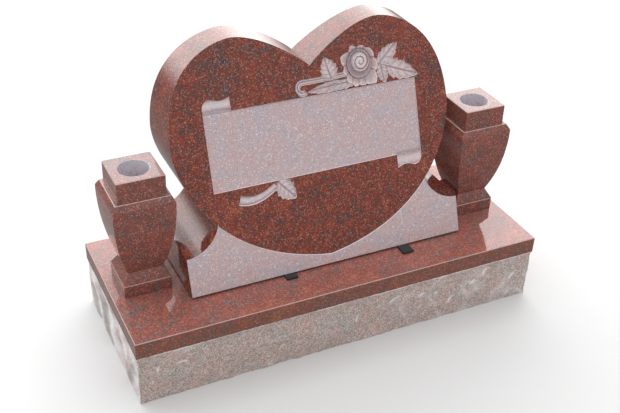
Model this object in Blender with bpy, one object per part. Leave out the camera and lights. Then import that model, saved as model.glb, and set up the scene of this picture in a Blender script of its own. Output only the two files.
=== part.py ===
"""Heart headstone: a slant-faced heart tablet growing out of a cradle, on a rock-pitched base,
with a square urn vase at each side. Metres, +Z up, front face towards -Y.
The origin is on the ground, under the middle of the base."""
import math

import bmesh
import bpy

# Base slab
BASE_LENGTH = 0.914
BASE_DEPTH = 0.362
BASE_HEIGHT = 0.152
BAND_HEIGHT = 0.036        # polished margin round the top of the sides
PITCH_DEPTH = 0.007        # how far the rock-pitched faces fall back from the margin
PITCH_STEP = 0.034         # size of the pitched facets

# Heart stone, heights above the base top, measured on its front face
PACKER_THICK = 0.005       # the thin joint that the stone stands on
STONE_DEPTH = 0.231        # front to back at the foot
CROWN_THICK = 0.064        # front to back at the crown of the heart
STONE_BACK = 0.1365        # distance of the upright back from the middle of the base
CRADLE_END = 0.080         # height of the cradle's ends
WING_RADIUS = 0.080        # hollow curve of the cradle's top
CRADLE_PROUD = 0.003       # the cradle's face stands this far in front of the heart's
HEART_HALF = 0.3105
CRADLE_OVER = 0.0015       # the cradle's ends stand this far outside the heart's widest part
HEART_WIDEST = 0.283
CROWN_HEIGHT = 0.4690
CROWN_OFFSET = 0.160       # distance of each lobe's crown from the middle
CLEFT_HEIGHT = 0.395
CLEFT_ANGLE = math.radians(45)
POINT_HEIGHT = 0.0226
POINT_ANGLE = math.radians(7.4)

# Scroll panel, sunk into the heart's face
PANEL_HALF = 0.2365
PANEL_LOW = 0.190
PANEL_HIGH = 0.338
PANEL_SUNK = 0.0022
CURL_LENGTH = 0.059
CURL_RISE = 0.027
CURL_SUNK = 0.0034
CURL_LAP = 0.004           # the curls' cuts lap this far into the panel's

# Carved rose, its leaves and its stem
BLOOM_X = 0.112
BLOOM_Z = 0.381
BLOOM_RING = 0.029         # between its outer petals the bloom's edge comes in to this radius
BLOOM_CUP = 0.027          # radius of the cup inside the outer petals
BLOOM_HEART = 0.011        # radius of the rolled heart
BLOOM_GAP = 0.002          # the petals stop this far above the panel
# direction in degrees, reach, and half the spread in degrees of each outer petal
PETALS = ((157, 0.046, 26), (115, 0.040, 22), (38, 0.038, 50), (-10, 0.041, 40), (-52, 0.054, 28),
          (-105, 0.044, 24), (-150, 0.038, 30))
CARVE_SUNK = 0.0048        # deepest carving
CARVE_STEP = 0.0055        # size of the facets of the curls, the bloom and the lower stem
LEAF_STEP = 0.009
HOOK_STEP = 0.0045
LEAF_TEETH = 5
# base, tip, and the width to the left and to the right of the midrib, seen from the base
LEAVES = {"upper": ((0.158, 0.372), (0.202, 0.412), 0.0130, 0.0175),
          "right": ((0.165, 0.372), (0.245, 0.343), 0.0215, 0.0190),
          "hanging": ((0.160, 0.375), (0.163, 0.338), 0.0125, 0.0110),
          "left": ((0.046, 0.360), (0.033, 0.406), 0.0200, 0.0210),
          "under": ((0.084, 0.352), (-0.008, 0.346), 0.0080, 0.0095),
          "lower": ((-0.100, 0.188), (-0.063, 0.149), 0.0210, 0.0215)}
STEM_START = (-0.1845, 0.1675)
STEM_END = (-0.1040, 0.1815)
STEM_BOW = 0.0235          # how far the lower stem bows down
STEM_CUT_WIDTH = 0.020     # at its cut end
STEM_WIDTH = 0.0135        # where it meets the leaf
HOOK_CENTRE = (-0.021, 0.3548)
HOOK_RADIUS = 0.0106
HOOK_WIDTH = 0.0105
HOOK_START = math.radians(-50)
HOOK_TURN = math.radians(-220)
HOOK_END = (0.080, 0.368)  # where the hooked stem runs in under the bloom
HOOK_END_WIDTH = 0.008

# Urn vases, heights above the base top
URN_Y = 0.0105
FOOT_HALF = 0.049
FOOT_HEIGHT = 0.028
NECK_HALF = 0.036
NECK_HEIGHT = 0.050
SHOULDER_HALF = 0.0625
SHOULDER_HEIGHT = 0.209
CHAMFER_HALF = 0.0545
CHAMFER_HEIGHT = 0.222
COLLAR_HALF = 0.0484
COLLAR_HEIGHT = 0.231
COVE = 0.002               # the collar spreads this far at its foot
URN_HEIGHT = 0.265
BORE_RADIUS = 0.031
BORE_DEPTH = 0.135
BORE_SIDES = 40

# Packers in the joint under the heart stone, and how far their ends show in front of it
PACKER_WIDTH = 0.025
PACKER_LEFT_X = -0.100
PACKER_LEFT_PROUD = 0.0155
PACKER_RIGHT_X = 0.168
PACKER_RIGHT_PROUD = 0.0280

SEAT_GAP = 0.0003
CUTTER_CLEAR = 0.02

STONE_LENGTH = 2 * (HEART_HALF + CRADLE_OVER)
URN_OFFSET = (BASE_LENGTH + STONE_LENGTH) / 4    # midway between the stone's end and the base's
slope = (STONE_DEPTH - CROWN_THICK) / (CROWN_HEIGHT - PACKER_THICK)
face_foot = STONE_BACK - STONE_DEPTH


def face_y(height, depth=0.0):
    """Place of the heart's front face at a height above the base top, depth into the stone."""
    return face_foot + slope * (height - PACKER_THICK) + CRADLE_PROUD + depth


def bezier(start, first, second, end, steps):
    """Points of a cubic curve, without its last one."""
    points = []
    for i in range(steps):
        t = i / steps
        a, b, c, d = (1 - t) ** 3, 3 * t * (1 - t) ** 2, 3 * t * t * (1 - t), t ** 3
        points.append(tuple(a * p + b * q + c * r + d * s
                            for p, q, r, s in zip(start, first, second, end)))
    return points


def right_lobe():
    """The heart's right half, from the cleft over the crown and down to the point."""
    cleft = (0.0, CLEFT_HEIGHT)
    crown = (CROWN_OFFSET, CROWN_HEIGHT)
    side = (HEART_HALF, HEART_WIDEST)
    point = (0.0, POINT_HEIGHT)
    width = HEART_HALF - CROWN_OFFSET
    rise = CROWN_HEIGHT - HEART_WIDEST
    drop = HEART_WIDEST - POINT_HEIGHT
    lead = 0.14 * CROWN_OFFSET
    reach = 0.83 * HEART_HALF
    curve = bezier(cleft, (lead * math.cos(CLEFT_ANGLE), CLEFT_HEIGHT + lead * math.sin(CLEFT_ANGLE)),
                   (0.62 * CROWN_OFFSET, CROWN_HEIGHT), crown, 10)
    curve += bezier(crown, (CROWN_OFFSET + 0.14 * width, CROWN_HEIGHT),
                    (HEART_HALF, HEART_WIDEST + 0.91 * rise), side, 14)
    curve += bezier(side, (HEART_HALF, HEART_WIDEST - 0.22 * drop),
                    (reach * math.cos(POINT_ANGLE), POINT_HEIGHT + reach * math.sin(POINT_ANGLE)),
                    point, 24)
    return curve + [point]


def wing(outline):
    """The cradle's hollow top, from where it leaves the heart out to the stone's end."""
    half = STONE_LENGTH / 2
    centre = (half, CRADLE_END + WING_RADIUS)
    inside = [p for p in outline if p[1] < HEART_WIDEST and math.dist(p, centre) < WING_RADIUS]
    before = inside[-1]
    after = outline[outline.index(before) + 1]
    near, far = math.dist(before, centre) - WING_RADIUS, math.dist(after, centre) - WING_RADIUS
    part = near / (near - far)
    meet = tuple(p + (q - p) * part for p, q in zip(before, after))
    first = math.atan2(meet[1] - centre[1], meet[0] - centre[0])
    last = -math.pi / 2
    steps = 9
    arc = []
    for i in range(1, steps + 1):
        angle = first + (last - first) * i / steps
        arc.append((centre[0] + WING_RADIUS * math.cos(angle), centre[1] + WING_RADIUS * math.sin(angle)))
    return meet, arc


def mirrored(points):
    return [(-x, z) for x, z in reversed(points)]


def make_object(name, bm, material=None):
    bmesh.ops.recalc_face_normals(bm, faces=bm.faces)
    mesh = bpy.data.meshes.new(name)
    bm.to_mesh(mesh)
    bm.free()
    obj = bpy.data.objects.new(name, mesh)
    bpy.context.scene.collection.objects.link(obj)
    if material:
        mesh.materials.append(material)
    return obj


def finish(name, color, roughness):
    material = bpy.data.materials.new(name)
    material.use_nodes = True
    shader = material.node_tree.nodes["Principled BSDF"]
    shader.inputs["Base Color"].default_value = (*color, 1.0)
    shader.inputs["Roughness"].default_value = roughness
    shader.inputs["Metallic"].default_value = 0.0
    return material


def slab(outline, front, back):
    """A block with an upright outline (x, height), between two surfaces y = f(x, height)."""
    bm = bmesh.new()
    face = bm.faces.new([bm.verts.new((x, 0.0, z)) for x, z in outline])
    grown = bmesh.ops.extrude_face_region(bm, geom=[face])["geom"]
    moved = {v for v in grown if isinstance(v, bmesh.types.BMVert)}
    for v in bm.verts:
        surface = back if v in moved else front
        v.co.y = surface(v.co.x, v.co.z)
    for v in bm.verts:
        v.co.z += BASE_HEIGHT
    return bm


def carving_cutter(name, outline, depth, step=CARVE_STEP):
    """A cutter for sunk carving, whose far side is the carved surface in small facets."""
    bm = bmesh.new()
    face = bm.faces.new([bm.verts.new((x, 0.0, z)) for x, z in outline])
    for axis, normal in ((0, (1, 0, 0)), (1, (0, 0, 1))):
        low = min(p[axis] for p in outline)
        high = max(p[axis] for p in outline)
        count = max(1, round((high - low) / step))
        for i in range(1, count):
            at = low + (high - low) * i / count
            place = (at, 0, 0) if axis == 0 else (0, 0, at)
            bmesh.ops.bisect_plane(bm, geom=bm.verts[:] + bm.edges[:] + bm.faces[:], dist=1e-5,
                                   plane_co=place, plane_no=normal)
    floor = list(bm.verts)
    grown = bmesh.ops.extrude_face_region(bm, geom=bm.faces[:])["geom"]
    front = [v for v in grown if isinstance(v, bmesh.types.BMVert)]
    for v in front:
        v.co.y = face_y(v.co.z) - CUTTER_CLEAR
    for v in floor:
        v.co.y = face_y(v.co.z, depth(v.co.x, v.co.z))
    for v in bm.verts:
        v.co.z += BASE_HEIGHT
    bmesh.ops.triangulate(bm, faces=bm.faces[:])
    return guide(make_object(name, bm))


def guide(obj):
    obj.hide_render = True
    obj.display_type = 'WIRE'
    return obj


def cut(obj, cutter):
    boolean = obj.modifiers.new(cutter.name, 'BOOLEAN')
    boolean.operation = 'DIFFERENCE'
    boolean.solver = 'EXACT'
    boolean.object = cutter


def panel_outline():
    return [(-PANEL_HALF, PANEL_LOW), (PANEL_HALF, PANEL_LOW),
            (PANEL_HALF, PANEL_HIGH), (-PANEL_HALF, PANEL_HIGH)]


def curl_outline(turned):
    """The rolled corner of the scroll: at the upper left, or turned half round at the lower right."""

    def corner(across, up):
        """A point of the curl, as shares of its length in from the panel's side and of its rise."""
        return (-PANEL_HALF + across * CURL_LENGTH, PANEL_HIGH + up * CURL_RISE)

    waist = corner(0.39, 0.93)
    edge = [(-PANEL_HALF, PANEL_HIGH - CURL_LAP), (corner(1, 0)[0], PANEL_HIGH - CURL_LAP), corner(1, 1)]
    edge += bezier(corner(1, 1), corner(0.73, 0.70), corner(0.56, 0.78), waist, 5)[1:]
    edge += bezier(waist, corner(0.20, 1.11), corner(0, 0.78), corner(0, 0.30), 6)
    if turned:
        middle = PANEL_LOW + PANEL_HIGH
        edge = [(-x, middle - z) for x, z in edge]
    return edge


def curl_depth(x, z):
    """Rolled cloth of the curls: round across its height."""
    middle = (PANEL_LOW + PANEL_HIGH) / 2
    rise = (abs(z - middle) - (PANEL_HIGH - PANEL_LOW) / 2) / CURL_RISE
    return CURL_SUNK * (1.0 - 0.6 * math.sin(math.pi * min(max(rise, 0.0), 1.0)))


def bloom_rim(angle):
    """Radius of the bloom's edge in a direction: pointed and round petals over a ring."""
    reach = BLOOM_RING
    for direction, length, spread in PETALS:
        off = abs((angle - math.radians(direction) + math.pi) % (2 * math.pi) - math.pi)
        reach = max(reach, length - (length - BLOOM_RING) * (off / math.radians(spread)) ** 1.4)
    return reach


def bloom_outline():
    points = []
    count = 44
    for i in range(count):
        angle = 2 * math.pi * i / count
        z = BLOOM_Z + bloom_rim(angle) * math.sin(angle)
        points.append((BLOOM_X + bloom_rim(angle) * math.cos(angle), max(z, PANEL_HIGH + BLOOM_GAP)))
    return points


def bloom_depth(x, z):
    """Open outer petals that rise to their rims, a cup of inner petals, and a rolled heart."""
    dx, dz = x - BLOOM_X, z - BLOOM_Z
    radius = math.hypot(dx, dz)
    angle = math.atan2(dz, dx)
    if radius > BLOOM_CUP:
        rise = min((radius - BLOOM_CUP) / (bloom_rim(angle) - BLOOM_CUP), 1.0)
        return CARVE_SUNK * (1.1 - 0.7 * rise)
    if radius > BLOOM_HEART:
        wave = 0.5 + 0.5 * math.cos(3 * angle + 9 * radius / BLOOM_CUP)
        return CARVE_SUNK * (0.28 + 0.42 * wave)
    return CARVE_SUNK * (0.18 + 0.9 * radius / BLOOM_CUP)


def leaf_outline(base, tip, left_half, right_half):
    """A pointed leaf with toothed sides."""
    length = math.dist(base, tip)
    along = ((tip[0] - base[0]) / length, (tip[1] - base[1]) / length)
    side = (-along[1], along[0])
    right, left = [], []
    count = LEAF_TEETH * 2
    for i in range(1, count):
        t = i / count
        share = math.sin(math.pi * t ** 0.8) ** 0.8 * (1.0 if i % 2 else 0.84)
        x = base[0] + along[0] * length * t
        z = base[1] + along[1] * length * t
        left.append((x + side[0] * share * left_half, z + side[1] * share * left_half))
        right.append((x - side[0] * share * right_half, z - side[1] * share * right_half))
    return [base] + right + [tip] + list(reversed(left))


def leaf_depth(base, tip, left_half, right_half):
    """A leaf's surface falls from its midrib to its edges."""
    length = math.dist(base, tip)
    along = ((tip[0] - base[0]) / length, (tip[1] - base[1]) / length)

    def depth(x, z):
        across = -(x - base[0]) * along[1] + (z - base[1]) * along[0]
        share = across / left_half if across > 0 else -across / right_half
        return CARVE_SUNK * (0.35 + 0.55 * min(share, 1.0))
    return depth


def band_outline(path, width, end_width):
    """A stem along a path, its width changing evenly."""
    left, right = [], []
    for i, (x, z) in enumerate(path):
        before = path[max(i - 1, 0)]
        after = path[min(i + 1, len(path) - 1)]
        length = math.dist(before, after)
        half = (width + (end_width - width) * i / (len(path) - 1)) / 2
        nx, nz = -(after[1] - before[1]) / length, (after[0] - before[0]) / length
        left.append((x + nx * half, z + nz * half))
        right.append((x - nx * half, z - nz * half))
    return left + list(reversed(right))


def band_depth(path, width):
    """A stem is round across its width."""
    def depth(x, z):
        across = min(math.dist((x, z), p) for p in path) / (width / 2)
        return CARVE_SUNK * (0.95 - 0.55 * math.sqrt(max(0.0, 1.0 - across * across)))
    return depth


def lower_stem():
    run = STEM_END[0] - STEM_START[0]
    return bezier(STEM_START, (STEM_START[0] + 0.24 * run, STEM_START[1] - 0.32 * STEM_BOW),
                  (STEM_START[0] + 0.55 * run, STEM_END[1] - STEM_BOW), STEM_END, 8) + [STEM_END]


def hooked_stem():
    """The cut end of the rose's stem: a hook that curls round, then runs on to the bloom."""
    path = []
    steps = 10
    for i in range(steps + 1):
        angle = HOOK_START + HOOK_TURN * i / steps
        path.append((HOOK_CENTRE[0] + HOOK_RADIUS * math.cos(angle),
                     HOOK_CENTRE[1] + HOOK_RADIUS * math.sin(angle)))
    leave = path[-1]
    run = HOOK_END[0] - leave[0]
    heading = HOOK_START + HOOK_TURN - math.pi / 2
    first = (leave[0] + 0.25 * run * math.cos(heading), leave[1] + 0.25 * run * math.sin(heading))
    return path[:-1] + bezier(leave, first, (leave[0] + 0.6 * run, first[1]), HOOK_END, 8) + [HOOK_END]


def carve(stone):
    """Everything sunk into the heart's face."""
    cut(stone, carving_cutter("cut_panel", panel_outline(), lambda x, z: PANEL_SUNK, 2 * PANEL_HALF))
    cut(stone, carving_cutter("cut_curl_upper", curl_outline(False), curl_depth))
    cut(stone, carving_cutter("cut_curl_lower", curl_outline(True), curl_depth))
    cut(stone, carving_cutter("cut_bloom", bloom_outline(), bloom_depth))
    for name, leaf in LEAVES.items():
        cut(stone, carving_cutter("cut_leaf_" + name, leaf_outline(*leaf), leaf_depth(*leaf), LEAF_STEP))
    hook = hooked_stem()
    cut(stone, carving_cutter("cut_stem_hook", band_outline(hook, HOOK_WIDTH, HOOK_END_WIDTH),
                              band_depth(hook, HOOK_WIDTH), HOOK_STEP))
    stem = lower_stem()
    cut(stone, carving_cutter("cut_stem_lower", band_outline(stem, STEM_CUT_WIDTH, STEM_WIDTH),
                              band_depth(stem, STEM_CUT_WIDTH)))


def heart_stone(material):
    """One stone: the cradle's outline and the heart's together, cut as a slant."""
    outline = right_lobe()
    meet, arc = wing(outline)
    upper = [p for p in outline if p[1] > meet[1]]
    lower = [p for p in outline if p[1] < meet[1]]
    half = STONE_LENGTH / 2
    right = upper + [meet] + arc + [(half, PACKER_THICK)]
    outer = right + mirrored(right)[:-1]
    stone = make_object("heart_stone", slab(outer, lambda x, z: face_y(z) - CRADLE_PROUD,
                                            lambda x, z: STONE_BACK), material)
    # The heart's face lies a little behind the cradle's: the cutter follows the heart's lower
    # edge exactly and runs well outside the stone above it.
    margin = 0.03
    corner = (half + margin, meet[1] + margin)
    top = (half + margin, CROWN_HEIGHT + margin)
    sweep = [meet] + lower + mirrored(lower)[1:] + [(-meet[0], meet[1])]
    recess = sweep + [(-corner[0], corner[1]), (-top[0], top[1]), top, corner]
    cutter = slab(recess, lambda x, z: face_y(z) - CUTTER_CLEAR, lambda x, z: face_y(z))
    cut(stone, guide(make_object("cut_heart_face", cutter)))
    carve(stone)
    return stone


def pitch(x, y, z):
    """Depth of the rock-pitched surface behind the margin, 0 to 1: broad spalls, then small ones."""
    broad = math.sin(23.0 * x + 31.0 * z + 1.3) * math.cos(27.0 * y - 19.0 * z + 0.4)
    middle = math.sin(61.0 * (x + y) + 47.0 * z) * math.cos(53.0 * (x - y) - 71.0 * z + 2.1)
    fine = math.sin(131.0 * (x - y) + 97.0 * z) * math.sin(113.0 * (x + y) - 149.0 * z)
    return min(max(0.5 + 0.28 * broad + 0.2 * middle + 0.14 * fine, 0.0), 1.0)


def base_slab(material):
    """A sawn block with a polished margin, its sides below the margin pitched off by hand."""
    bm = bmesh.new()
    bmesh.ops.create_cube(bm, size=1.0)
    bmesh.ops.scale(bm, vec=(BASE_LENGTH, BASE_DEPTH, BASE_HEIGHT), verts=bm.verts)
    bmesh.ops.translate(bm, vec=(0, 0, BASE_HEIGHT / 2), verts=bm.verts)
    band = BASE_HEIGHT - BAND_HEIGHT
    bmesh.ops.bisect_plane(bm, geom=bm.verts[:] + bm.edges[:] + bm.faces[:], dist=1e-6,
                           plane_co=(0, 0, band), plane_no=(0, 0, 1))
    cuts = []
    for axis, low, high in ((0, -BASE_LENGTH / 2, BASE_LENGTH / 2), (1, -BASE_DEPTH / 2, BASE_DEPTH / 2),
                            (2, 0.0, band)):
        count = max(2, round((high - low) / PITCH_STEP))
        cuts += [(axis, low + (high - low) * i / count) for i in range(1, count)]
    for axis, at in cuts:
        rough = [f for f in bm.faces if f.calc_center_median().z < band - 1e-6]
        geom = rough + list({e for f in rough for e in f.edges}) + list({v for f in rough for v in f.verts})
        place = [0.0, 0.0, 0.0]
        normal = [0.0, 0.0, 0.0]
        place[axis] = at
        normal[axis] = 1.0
        bmesh.ops.bisect_plane(bm, geom=geom, dist=1e-6, plane_co=place, plane_no=normal)
    for v in bm.verts:
        if v.co.z > band - 1e-6:
            continue
        x, y, z = v.co
        fall = PITCH_DEPTH * pitch(x, y, z)
        if abs(abs(x) - BASE_LENGTH / 2) < 1e-6:
            v.co.x -= math.copysign(fall, x)
        if abs(abs(y) - BASE_DEPTH / 2) < 1e-6:
            v.co.y -= math.copysign(fall, y)
    return make_object("base", bm, material)


def urn_profile():
    """Half widths of the vase from its foot up to its mouth."""
    profile = [(FOOT_HALF, SEAT_GAP), (FOOT_HALF, FOOT_HEIGHT), (NECK_HALF, NECK_HEIGHT)]
    neck = (NECK_HALF, NECK_HEIGHT)
    shoulder = (SHOULDER_HALF, SHOULDER_HEIGHT)
    swell = SHOULDER_HALF - NECK_HALF
    rise = SHOULDER_HEIGHT - NECK_HEIGHT
    profile += bezier(neck, (NECK_HALF + 0.52 * swell, NECK_HEIGHT + 0.22 * rise),
                      (SHOULDER_HALF + 0.02 * swell, NECK_HEIGHT + 0.55 * rise), shoulder, 10)[1:]
    profile += [shoulder, (CHAMFER_HALF, CHAMFER_HEIGHT), (COLLAR_HALF + COVE, CHAMFER_HEIGHT + COVE / 2)]
    profile += [(COLLAR_HALF, COLLAR_HEIGHT), (COLLAR_HALF, URN_HEIGHT)]
    return profile


def urn(name, x, material):
    """A four-sided vase with a round socket bored in its top, x from the middle of the base."""
    bm = bmesh.new()
    rings = []
    for half, height in urn_profile():
        corners = ((-half, -half), (half, -half), (half, half), (-half, half))
        rings.append([bm.verts.new((x + a, URN_Y + b, BASE_HEIGHT + height)) for a, b in corners])
    for low, high in zip(rings, rings[1:]):
        for i in range(4):
            bm.faces.new((low[i], low[(i + 1) % 4], high[(i + 1) % 4], high[i]))
    bm.faces.new(list(reversed(rings[0])))
    bm.faces.new(rings[-1])
    vase = make_object(name, bm, material)
    drill = bmesh.new()
    bmesh.ops.create_cone(drill, cap_ends=True, segments=BORE_SIDES, radius1=BORE_RADIUS, radius2=BORE_RADIUS,
                          depth=BORE_DEPTH + CUTTER_CLEAR)
    middle = BASE_HEIGHT + URN_HEIGHT + (CUTTER_CLEAR - BORE_DEPTH) / 2
    bmesh.ops.translate(drill, vec=(x, URN_Y, middle), verts=drill.verts)
    cut(vase, guide(make_object("cut_bore_" + name, drill)))
    return vase


def packer(name, x, proud, material):
    """A black strip in the joint, from a little in front of the stone to near its back."""
    bm = bmesh.new()
    bmesh.ops.create_cube(bm, size=1.0)
    front = face_foot - proud
    depth = STONE_BACK - face_foot
    thick = PACKER_THICK - 2 * SEAT_GAP
    bmesh.ops.scale(bm, vec=(PACKER_WIDTH, depth, thick), verts=bm.verts)
    bmesh.ops.translate(bm, vec=(x, front + depth / 2, BASE_HEIGHT + SEAT_GAP + thick / 2), verts=bm.verts)
    return make_object(name, bm, material)


def main():
    for obj in list(bpy.data.objects):
        bpy.data.objects.remove(obj, do_unlink=True)
    granite = finish("red_granite", (0.29, 0.075, 0.045), 0.12)
    pitched = finish("pitched_granite", (0.42, 0.31, 0.27), 0.8)
    rubber = finish("packer_black", (0.02, 0.02, 0.022), 0.6)
    base_slab(pitched)
    heart_stone(granite)
    urn("urn_left", -URN_OFFSET, granite)
    urn("urn_right", URN_OFFSET, granite)
    packer("packer_left", PACKER_LEFT_X, PACKER_LEFT_PROUD, rubber)
    packer("packer_right", PACKER_RIGHT_X, PACKER_RIGHT_PROUD, rubber)


main()
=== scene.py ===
import math

import bmesh
import bpy
from mathutils import Matrix, Vector, noise


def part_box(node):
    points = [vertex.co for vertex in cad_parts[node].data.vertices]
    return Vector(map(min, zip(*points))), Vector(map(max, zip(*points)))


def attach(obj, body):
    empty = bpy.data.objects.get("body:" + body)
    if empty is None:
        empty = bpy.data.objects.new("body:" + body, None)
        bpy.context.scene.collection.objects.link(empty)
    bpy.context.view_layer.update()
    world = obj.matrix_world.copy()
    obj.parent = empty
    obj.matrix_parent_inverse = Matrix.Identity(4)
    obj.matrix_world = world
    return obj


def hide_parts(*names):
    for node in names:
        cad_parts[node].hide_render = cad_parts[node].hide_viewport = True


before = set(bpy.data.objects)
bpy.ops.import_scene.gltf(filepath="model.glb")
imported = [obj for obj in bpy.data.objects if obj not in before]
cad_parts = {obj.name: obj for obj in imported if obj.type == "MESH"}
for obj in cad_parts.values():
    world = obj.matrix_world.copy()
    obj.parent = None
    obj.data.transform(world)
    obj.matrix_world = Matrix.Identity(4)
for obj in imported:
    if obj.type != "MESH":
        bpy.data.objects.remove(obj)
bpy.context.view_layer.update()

baseLow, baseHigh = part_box("base")
stoneLow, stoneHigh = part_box("heart_stone")
baseTop = baseHigh.z

# The photograph's camera, worked out from the corners of the base, the cradle and the urns
camera = {"azimuth": -26.52, "elevation": 32.69, "roll": 2.11, "distance": 2.112,
          "target": (-0.0119, 0.0, 0.2434), "focalPixels": 994.1, "frameWidth": 620, "sensor": 36.0}


# Shader maths as plain expressions
class Value:
    def __init__(self, tree, socket):
        self.tree = tree
        self.socket = socket

    def math(self, operation, first, second, clamp=False):
        node = self.tree.nodes.new("ShaderNodeMath")
        node.operation = operation
        node.use_clamp = clamp
        for slotNumber, item in enumerate((first, second)):
            if isinstance(item, Value):
                self.tree.links.new(item.socket, node.inputs[slotNumber])
            else:
                node.inputs[slotNumber].default_value = item
        return Value(self.tree, node.outputs[0])

    def __add__(self, other):
        return self.math("ADD", self, other)

    def __radd__(self, other):
        return self.math("ADD", other, self)

    def __sub__(self, other):
        return self.math("SUBTRACT", self, other)

    def __rsub__(self, other):
        return self.math("SUBTRACT", other, self)

    def __mul__(self, other):
        return self.math("MULTIPLY", self, other)

    def __rmul__(self, other):
        return self.math("MULTIPLY", other, self)

    def above(self, level):
        return self.math("GREATER_THAN", self, level)

    def clamped(self):
        return self.math("ADD", self, 0.0, clamp=True)


class Finish:
    def __init__(self, name):
        self.material = bpy.data.materials.new(name)
        self.material.use_nodes = True
        self.tree = self.material.node_tree
        self.shader = self.tree.nodes["Principled BSDF"]
        self.place = self.make("ShaderNodeTexCoord", "Object")

    def make(self, kind, output, settings=None, **inputs):
        # settings come first, then the sockets; an underscore in a socket's name is a space
        node = self.tree.nodes.new(kind)
        for key, item in (settings or {}).items():
            if key == "stops":
                ramp = node.color_ramp
                while len(ramp.elements) < len(item):
                    ramp.elements.new(0.5)
                for element, (position, color) in zip(ramp.elements, item):
                    element.position = position
                    element.color = (*color, 1.0)
            else:
                setattr(node, key, item)
        for key, item in inputs.items():
            self.put(node.inputs[key.replace("_", " ")], item)
        return Value(self.tree, node.outputs[output])

    def put(self, socket, item):
        if isinstance(item, Value):
            self.tree.links.new(item.socket, socket)
        else:
            socket.default_value = item

    def cloud(self, scale, detail=3.0, roughness=0.55):
        return self.make("ShaderNodeTexNoise", "Fac", Vector=self.place, Scale=scale, Detail=detail,
                         Roughness=roughness)

    def grains(self, size):
        # one random number for each crystal of about that size
        color = self.make("ShaderNodeTexVoronoi", "Color", Vector=self.place, Scale=1.0 / size)
        return self.make("ShaderNodeSeparateColor", "Red", Color=color)

    def ramp(self, value, stops):
        return self.make("ShaderNodeValToRGB", "Color", {"stops": stops}, Fac=value)

    def mix(self, factor, first, second):
        node = self.tree.nodes.new("ShaderNodeMix")
        node.data_type = "RGBA"
        for socket, item in ((node.inputs[0], factor), (node.inputs[6], first), (node.inputs[7], second)):
            if isinstance(item, tuple):
                item = (*item, 1.0)
            self.put(socket, item)
        return Value(self.tree, node.outputs[2])

    def bump(self, height, distance, strength=1.0):
        return self.make("ShaderNodeBump", "Normal", Height=height, Distance=distance, Strength=strength)

    def set(self, **inputs):
        for key, item in inputs.items():
            self.put(self.shader.inputs[key.replace("_", " ")], item)
        return self.material


# Colours of the stone's crystals, and how large they are
granite = {"crystal": 0.0029, "fleck": 0.0017, "patch": 0.024, "cloud": 0.11,
           "darkest": (0.030, 0.019, 0.018), "grey": (0.110, 0.088, 0.098), "brown": (0.100, 0.032, 0.022),
           "red": (0.205, 0.036, 0.021), "scarlet": (0.285, 0.046, 0.022), "orange": (0.330, 0.088, 0.040),
           "spark": (0.52, 0.35, 0.31), "polish": 0.06}


chalky = (0.86, 0.80, 0.80)         # fresh broken crystals


def lightened(color, gain):
    return tuple(min(part * gain, 1.0) for part in color)


def crystalColour(finish, gain=1.0, pale=0.0, paleColour=(0.80, 0.62, 0.59)):
    # small crystals picked at random, drifting between red, orange and grey-brown patches
    patch = finish.cloud(1.0 / granite["patch"], 3.0, 0.6)
    broad = finish.cloud(1.0 / granite["cloud"], 2.0)
    pick = finish.grains(granite["crystal"]) * 0.50 + (patch - 0.5) * 1.5 + (broad - 0.5) * 0.7 + 0.30
    stops = [(0.0, granite["darkest"]), (0.12, granite["grey"]), (0.26, granite["brown"]),
             (0.42, granite["red"]), (0.52, granite["brown"]), (0.66, granite["scarlet"]),
             (0.84, granite["red"]), (1.0, granite["orange"])]
    body = finish.ramp(pick, [(position, lightened(color, gain)) for position, color in stops])
    fleck = finish.grains(granite["fleck"])
    body = finish.mix(fleck.above(0.80) * 0.68, body, granite["darkest"])
    body = finish.mix((1.0 - fleck).above(0.90) * 0.42, body, granite["spark"])
    return finish.mix(pale, body, paleColour) if pale else body


def polishedGranite(name, gain, pale=0.0):
    finish = Finish(name)
    film = finish.cloud(9.0, 3.0)
    grain = finish.grains(granite["crystal"])
    return finish.set(Base_Color=crystalColour(finish, gain, pale),
                      Roughness=film * 0.05 + (granite["polish"] - 0.02),
                      Normal=finish.bump(grain, 0.00002, 0.3))


def marginGranite():
    # the base's upright margin looks browner than its top
    finish = Finish("marginGranite")
    film = finish.cloud(9.0, 3.0)
    return finish.set(Base_Color=crystalColour(finish, 1.12, 0.30, (0.21, 0.135, 0.10)),
                      Roughness=film * 0.1 + 0.12, Normal=finish.bump(film, 0.00002, 0.3))


def easedGraniteWithPaintedHighlight():
    # the rubbed arrises: rougher than the polish, and their colour paled as a painted highlight
    finish = Finish("easedArrisPaintedHighlight")
    wear = finish.cloud(120.0, 3.0, 0.7)
    # the raised gain and paleness are a painted highlight along the arrises
    return finish.set(Base_Color=crystalColour(finish, 1.2, 0.42), Roughness=wear * 0.3 + 0.25,
                      Normal=finish.bump(wear, 0.0003, 0.4))


frosted = {"pale": (0.50, 0.405, 0.425), "pink": (0.54, 0.365, 0.355), "blue": (0.40, 0.385, 0.455),
           "dark": (0.25, 0.19, 0.20), "roughness": 0.72}


def frostedColour(finish):
    # steeled stone: the polish is gone, so the crystals show pale and sparkle
    drift = finish.cloud(26.0, 4.0)
    crystals = finish.grains(granite["crystal"])
    flecks = finish.grains(granite["fleck"])
    color = finish.ramp(crystals * 0.45 + drift * 1.1 - 0.28,
                        [(0.15, frosted["blue"]), (0.42, frosted["pale"]), (0.75, frosted["pink"])])
    color = finish.mix(flecks.above(0.88) * 0.42, color, frosted["dark"])
    return finish.mix((1.0 - flecks).above(0.93) * 0.6, color, chalky)


def frostedGranite():
    finish = Finish("frostedGranite")
    pits = finish.cloud(900.0, 2.0, 0.7)
    crystals = finish.grains(granite["crystal"])
    return finish.set(Base_Color=frostedColour(finish), Roughness=pits * 0.2 + (frosted["roughness"] - 0.1),
                      Normal=finish.bump(pits + crystals * 0.4, 0.0004, 0.6))


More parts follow.
